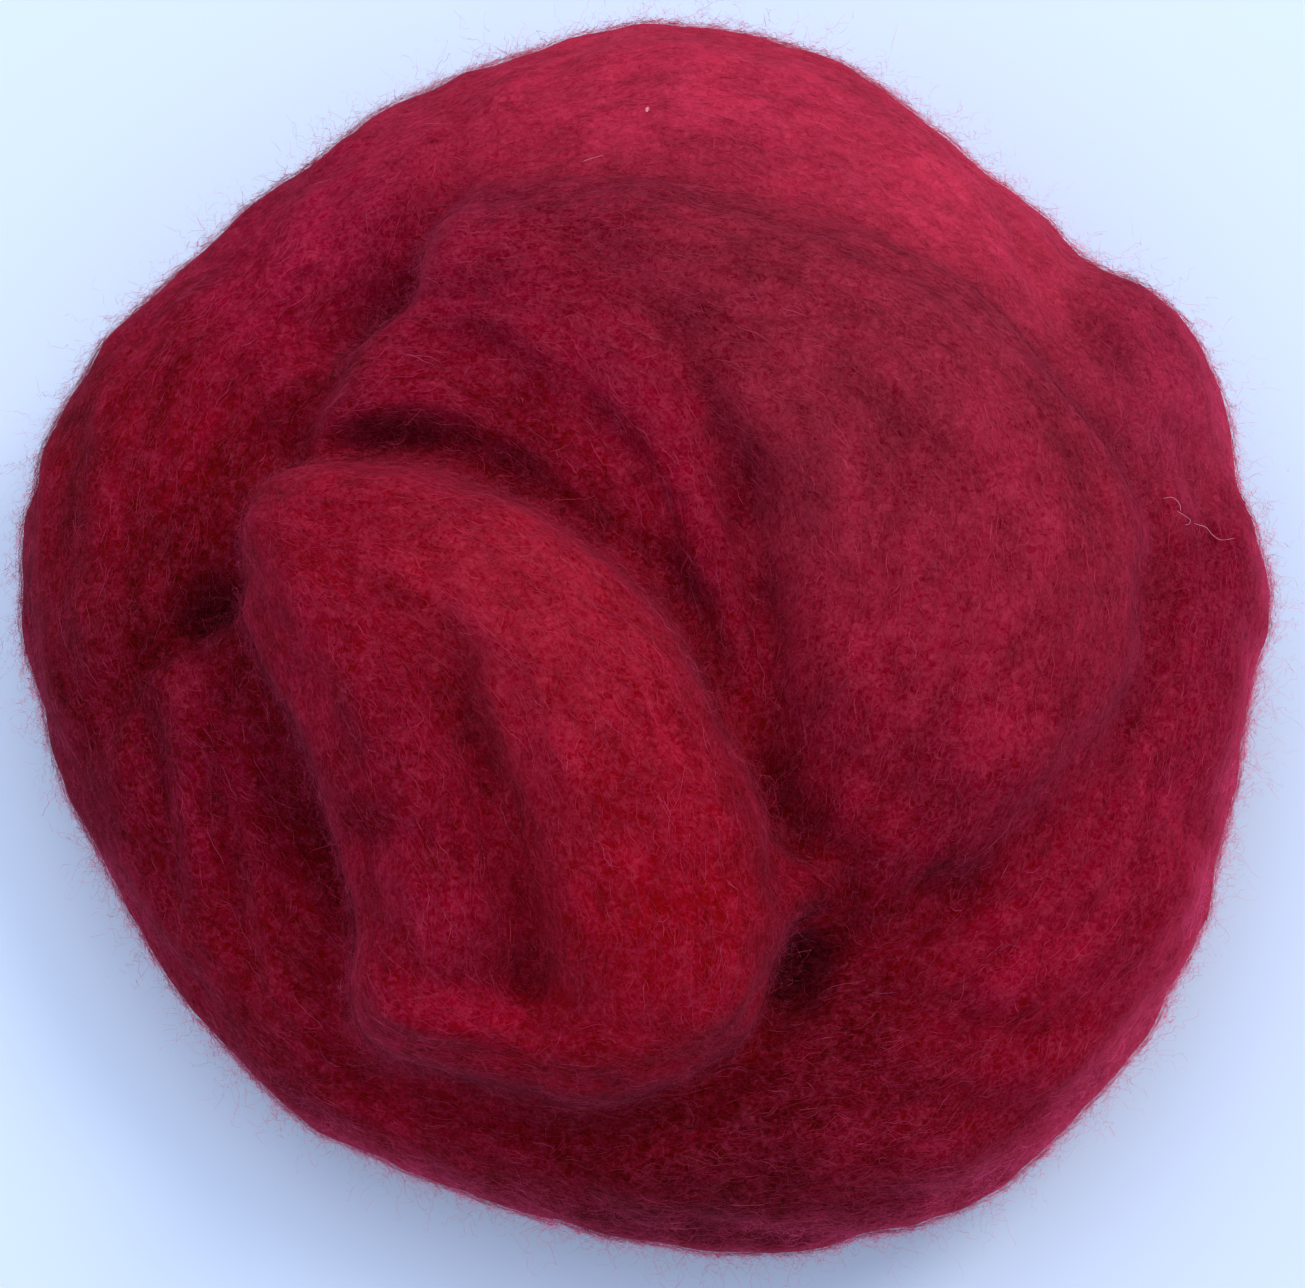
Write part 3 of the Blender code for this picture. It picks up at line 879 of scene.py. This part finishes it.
def paths(count, spread, steps, long, turning, curl, low, high, stand, rng):
    """Points of fibres, as (fibre, step, xyz), with their ways out, their colour and the share of painted light
    through each point.
    A fibre's heading from the lay is a start + a bend + a wave; it lies low to high above the skin
    in its middle, and its far end may stand off by up to stand and nods up and down on the way.
    That share = (height - 0.1) / 0.6 mm, from 0 to 1, and least in hollows, high on the nest and where the wool
    faces up, because there no light comes from behind."""
    place, out, lay, dye_and_light, sunk = roots(count, spread, rng)
    across = np.cross(out, lay)
    t = np.linspace(-0.5, 0.5, steps + 1)[None, :]
    length = rng.uniform(0.5, 1.5, (count, 1)) * long
    beats = length / rng.uniform(*WAVE_LENGTHS, (count, 1))
    wave = np.sin(2 * math.pi * (beats * t + rng.uniform(0, 1, (count, 1))))
    heading = rng.normal(0, turning, (count, 1)) + rng.normal(0, curl, (count, 1)) * t * 2
    heading = heading + rng.uniform(0.3, 1.0, (count, 1)) * curl * wave
    stride = length / steps
    east = np.cumsum(np.cos(heading) * stride, axis=1)
    north = np.cumsum(np.sin(heading) * stride, axis=1)
    middle = steps // 2
    east, north = east - east[:, middle : middle + 1], north - north[:, middle : middle + 1]
    rest = rng.uniform(low, high, (count, 1))
    rise = rng.uniform(0, 1, (count, 1)) ** 2 * stand
    nod = np.sin(2 * math.pi * (1.4 * beats * t + rng.uniform(0, 1, (count, 1)))) * (t + 0.5)
    height = rest + rise * (t + 0.5) ** 1.5 + 0.05 * curl * length / beats * nod
    height = height - (east**2 + north**2) / 2 / SKIN_RADIUS + 0.12 * rest * wave
    points = place[:, None] + lay[:, None] * east[..., None] + across[:, None] * north[..., None]
    points = points + out[:, None] * height[..., None]
    points[..., 2] = np.maximum(points[..., 2], LEAST_HEIGHT)
    # painted light through the fibre: its share grows as the fibre stands off the skin
    light_through = np.clip((rest + rise * (t + 0.5) ** 1.5 - 0.1) / 0.6, 0, 1)
    light_through = light_through * np.clip((0.62 - out[:, 2:]) / 0.4, 0.04, 1) * np.clip(0.7 - sunk, 0, 1)
    light_through = light_through * np.clip(open_side(place, out)[1], 0.15, 1)[:, None]
    return points, out, dye_and_light, light_through


# %% Ribbons


def ribbons(points, out, width, roll):
    """A ribbon along each path: points +- across * width, thin at both ends. Across is square to the path and
    to the way out, turned about the path by roll."""
    along = unit(np.gradient(points, axis=1))
    across = unit(np.cross(np.broadcast_to(out[:, None], points.shape), along))
    upward = np.cross(along, across)
    turned = across * np.cos(roll)[:, None, None] + upward * np.sin(roll)[:, None, None]
    steps = points.shape[1]
    taper = np.clip(np.minimum(np.arange(steps), np.arange(steps)[::-1]) + 0.35, 0, 1)
    half = (width / 2)[:, None] * taper[None, :]
    edges = np.stack([points - turned * half[..., None], points + turned * half[..., None]], axis=2)
    first = (np.arange(len(points)) * steps * 2)[:, None] + np.arange(steps - 1)[None, :] * 2
    faces = np.stack([first, first + 1, first + 3, first + 2], axis=-1).reshape(-1, 4)
    return edges.reshape(-1, 3), faces


def own_squares(counts):
    """A map in which every fibre has a small square of its own: u runs along the fibre, v across it.
    Counts holds, for each batch, how many fibres and how many points along each."""
    side = math.ceil(math.sqrt(sum(count for count, _ in counts)))
    maps, first = [], 0
    for count, steps in counts:
        number = first + np.arange(count)
        corner = np.stack([number % side, number // side], axis=1)[:, None, None]
        u, v = np.meshgrid(np.linspace(0.15, 0.85, steps), (0.2, 0.8), indexing="ij")
        maps.append(((corner + np.stack([u, v], axis=-1)) / side).reshape(-1, 2))
        first += count
    return np.vstack(maps)


CLEAR_FIBRE = np.array((0.97, 0.11, 0.30))  # a fibre that stands clear, with light through it


def fibre_piece(name, batches, material):
    """One mesh of many ribbons, with a map that gives each fibre its own square. Each point has its fibre's
    colour + 0.7 * light through * (clear fibre - colour), painted light through the fibre."""
    vertices, faces, dyes_and_light, counts, offset = [], [], [], [], 0
    for points, out, width, roll, dye_and_light, light_through in batches:
        ribbon_vertices, ribbon_faces = ribbons(points, out, width, roll)
        vertices.append(ribbon_vertices)
        faces.append(ribbon_faces + offset)
        counts.append(points.shape[:2])
        # painted light through the fibre: fibres that stand clear are painted paler and pinker
        lit = dye_and_light[:, None] + 0.7 * light_through[..., None] * (CLEAR_FIBRE - dye_and_light[:, None])
        dyes_and_light.append(np.repeat(lit.reshape(-1, 3), 2, axis=0))
        offset += len(ribbon_vertices)
    vertices, faces, dyes_and_light = np.vstack(vertices), np.vstack(faces), np.vstack(dyes_and_light)
    mesh = bpy.data.meshes.new(name)
    mesh.vertices.add(len(vertices))
    mesh.vertices.foreach_set("co", (vertices * MM).ravel())
    mesh.loops.add(faces.size)
    mesh.loops.foreach_set("vertex_index", faces.ravel())
    mesh.polygons.add(len(faces))
    mesh.polygons.foreach_set("loop_start", np.arange(len(faces)) * 4)
    mesh.update(calc_edges=True)
    mesh.uv_layers.new(name="OFBake").data.foreach_set("uv", own_squares(counts)[faces.ravel()].ravel())
    paint(mesh, "dye_and_light", dyes_and_light)
    mesh.shade_smooth()
    mesh.materials.append(material)
    piece = bpy.data.objects.new(name, mesh)
    bpy.context.scene.collection.objects.link(piece)
    print(f"{name}: {len(faces) * 2} triangles")
    return piece


# %% [markdown]
# ## How many fibres, how long, how wild
#
# Each kind is a row: how many, steps, length, how far its heading strays, how much it curls,
# how low and how high it lies, how far its end stands off, its width, and the share of pale ones.
# Lengths are in millimetres and headings in radians. Pale fibres are those where the dye took less.
# Short ones are many and simple, long ones few and finely bent, so that all stay under a million triangles.

# %% Make the fibres
PALE = np.array((0.52, 0.07, 0.16))
FIBRES = {
    # how many, steps, length, straying, curl, lowest, highest, standing off, width, pale share
    # the matted nap that hides the skin
    "nap": (45000, 2, 1.7, 0.36, 0.4, 0.06, 0.40, 0.20, 0.055, 0.010),
    "long_nap": (17000, 4, 3.9, 0.22, 0.42, 0.06, 0.40, 0.30, 0.038, 0.030),
    # fuzz that stands off and softens the outline
    "fuzz": (16000, 3, 2.0, 0.75, 0.9, 0.15, 0.55, 0.90, 0.032, 0.02),
    # short bright fuzz on the sides, then curls
    "side_fuzz": (44000, 2, 1.1, 1.3, 1.5, 0.12, 0.50, 0.60, 0.034, 0.02),
    "side_curls": (12000, 7, 3.0, 1.5, 2.8, 0.15, 0.70, 1.90, 0.023, 0.02),
    # longer stray fibres that loop out
    "strays": (2600, 12, 7.0, 1.3, 2.4, 0.20, 0.80, 3.00, 0.022, 0.02),
    # long fine ones that stand far off the sides
    "side_wisps": (2600, 14, 8.5, 1.4, 2.6, 0.40, 1.40, 6.00, 0.020, 0.02),
}


def tinted(dye_and_light, rng, vary, pale_share):
    """A fibre's dye made paler or deeper: dye + random * PALER, and mixed with PALE for a small share."""
    changed = np.maximum(dye_and_light + rng.normal(0, vary, (len(dye_and_light), 1)) * PALER, 0.02 * dye_and_light)
    paleness = np.where(rng.uniform(size=(len(dye_and_light), 1)) < pale_share, 0.4, 0)
    return changed * (1 - paleness) + PALE * paleness


# %% [markdown]
# Hand-dyed wool always has a few fibres that took no dye. A few curly pale hairs lie on the right side
# of the nest and one on the back turn, where a tiny undyed knot sits too.
# They are too few for a random rule, so each is laid one by one, from a few given places.

# %% Pale hairs and a knot
# each hair is a row of places, east and north
PALE_HAIRS = [
    [(54.0, 11.8), (55.0, 11.9), (55.7, 11.2), (55.8, 10.5)],
    [(55.4, 10.4), (56.2, 10.0), (56.8, 9.6), (56.6, 9.1), (56.2, 9.0)],
    [(57.2, 9.3), (58.6, 9.4), (59.3, 8.8), (60.3, 8.3), (61.8, 8.6)],
    [(-6.0, 46.7), (-5.0, 47.0), (-3.9, 47.3)],
]
KNOT = (0.7, 52.2)
KNOT_FIBRES, KNOT_POINTS = 16, 7
UNDYED = np.array((0.62, 0.24, 0.28))
NEARBY = 0.8  # millimetres


def on_the_wool(plan, above):
    """Points laid on the highest wool nearby, as seen from above."""
    plan = plan - CENTRE
    apart = ((plan[:, None] - skin[None, :, :2]) ** 2).sum(axis=2)
    top = np.where(apart < NEARBY**2, skin[None, :, 2], 0).max(axis=1)
    return np.column_stack([plan, top + above])


def pale_hair(stops):
    """One hair run smoothly through its places, just above the wool, as a batch of one ribbon."""
    points = on_the_wool(through(stops, 5), 0.40)[None]
    for _ in range(6):
        points[:, 1:-1, 2] = (points[:, :-2, 2] + points[:, 1:-1, 2] + points[:, 2:, 2]) / 3
    out, width, roll = np.array([(0.3, 0.0, 0.95)]), np.array([0.045]), np.array([0.3])
    return points, out, width, roll, 0.85 * UNDYED[None], np.zeros(points.shape[:2])


def knot(east, north, rng):
    """A few short undyed fibres, curled up within half a millimetre."""
    each = (KNOT_FIBRES, 1)
    t = np.linspace(0, 1, KNOT_POINTS)[None, :]
    bend = rng.normal(0, 3.5, each) * t + rng.uniform(0, 2 * math.pi, each)
    stride = rng.uniform(0.05, 0.10, each)
    plan = np.cumsum(np.stack([np.cos(bend), np.sin(bend)], axis=-1) * stride[..., None], axis=1)
    plan = plan - plan.mean(axis=1, keepdims=True) + rng.normal(0, 0.07, (*each, 2)) + (east, north)
    points = on_the_wool(plan.reshape(-1, 2), 0.30).reshape(KNOT_FIBRES, KNOT_POINTS, 3)
    points[..., 2] += rng.uniform(0, 0.3, each)
    out, width = np.tile((0.0, 0.3, 0.95), each), np.full(KNOT_FIBRES, 0.06)
    roll = rng.normal(0, 0.5, KNOT_FIBRES)
    return points, out, width, roll, np.tile(1.25 * UNDYED, each), np.zeros((KNOT_FIBRES, KNOT_POINTS))


# %% Comb the fibres on
pieces = []
for seed, (name, row) in enumerate(FIBRES.items()):
    count, steps, long, turning, curl, low, high, stand, width, pale_share = row
    rng = np.random.default_rng(100 + seed)
    spread = side_filled if name.startswith("side") else filled
    points, out, dye_and_light, light_through = paths(count, spread, steps, long, turning, curl, low, high, stand, rng)
    # a fibre of the nap lies nearly flat on the skin, and a loose one is turned any way
    rolls = rng.normal(0, 0.35, count) if name.endswith("nap") else rng.uniform(0, math.pi, count)
    widths = rng.uniform(0.7, 1.3, count) * width
    batches = [(points, out, widths, rolls, tinted(dye_and_light, rng, 0.05, pale_share), light_through)]
    if name == "strays":
        batches += [pale_hair(stops) for stops in PALE_HAIRS] + [knot(*KNOT, rng)]
    pieces.append(fibre_piece(name, batches, felt_fibre if name.endswith("nap") else loose_fibre))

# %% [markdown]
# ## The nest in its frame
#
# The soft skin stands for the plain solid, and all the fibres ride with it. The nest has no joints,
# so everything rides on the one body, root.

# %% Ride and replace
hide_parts("roving")
for piece in [wool_body] + pieces:
    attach(piece, "root")

# %% [markdown]
# ## Table, light and camera
#
# A plain pale table, one broad soft light from the back right, a weaker one from the back left
# and a faint sky, because the shadow in front of the nest is short and soft.
# The camera looks steeply down from the front with a long lens, which hardly makes near things larger.

# %% Table
REACH = 2  # metres from the middle to each side
TABLE_TOP = -0.0002  # metres, a hair under the nest, so that the two don't flicker
table_mesh = bpy.data.meshes.new("table")
sides = [(-REACH, -REACH), (REACH, -REACH), (REACH, REACH), (-REACH, REACH)]
table_mesh.from_pydata([(x, y, TABLE_TOP) for x, y in sides], [], [(0, 1, 2, 3)])
table = bpy.data.objects.new("table", table_mesh)
bpy.context.scene.collection.objects.link(table)
pale_table = bpy.data.materials.new("pale_table")
pale_table.use_nodes = True
table_shader = pale_table.node_tree.nodes["Principled BSDF"]
table_shader.inputs["Base Color"].default_value = (0.585, 0.655, 0.80, 1)
table_shader.inputs["Roughness"].default_value = 0.95
table_mesh.materials.append(pale_table)

# %% Lights


def soft_light(name, place, size, power, colour):
    """A square light at a place, turned to the nest."""
    lamp = bpy.data.lights.new(name, "AREA")
    lamp.size, lamp.energy, lamp.color = size, power, colour
    holder = bpy.data.objects.new(name, lamp)
    holder.location = place
    holder.rotation_euler = (Vector((0, 0, 0.02)) - Vector(place)).to_track_quat("-Z", "Y").to_euler()
    bpy.context.scene.collection.objects.link(holder)
    print(f"{name}: a light {size} m wide, of {power} W")


soft_light("window", (0.74, 0.55, 1.25), 0.52, 8.2, (1.0, 0.95, 0.86))
soft_light("room", (-0.2, 0.5, 0.8), 0.8, 2.4, (0.92, 0.96, 1.0))
world = bpy.data.worlds.new("room_light")
bpy.context.scene.world = world
world.use_nodes = True
sky = world.node_tree.nodes["Background"]
sky.inputs["Color"].default_value = (0.70, 0.82, 1.0, 1)
sky.inputs["Strength"].default_value = 1.2

# %% Camera
AIM = Vector((0.9, -3.3, 22.0)) * MM
DISTANCE = 430 * MM
ELEVATION = math.radians(75)
LENS = 112.9  # millimetres, for a sensor 36 mm wide
lens = bpy.data.cameras.new("camera")
lens.sensor_width = 36
lens.lens = LENS
lens.clip_start = 0.01
camera = bpy.data.objects.new("camera", lens)
looking = Vector((0, math.cos(ELEVATION), -math.sin(ELEVATION)))
camera.location = AIM - looking * DISTANCE
camera.rotation_euler = looking.to_track_quat("-Z", "Y").to_euler()
bpy.context.scene.collection.objects.link(camera)
bpy.context.scene.camera = camera
bpy.context.scene.view_settings.view_transform = "Standard"
print("camera at", [round(c, 3) for c in camera.location])
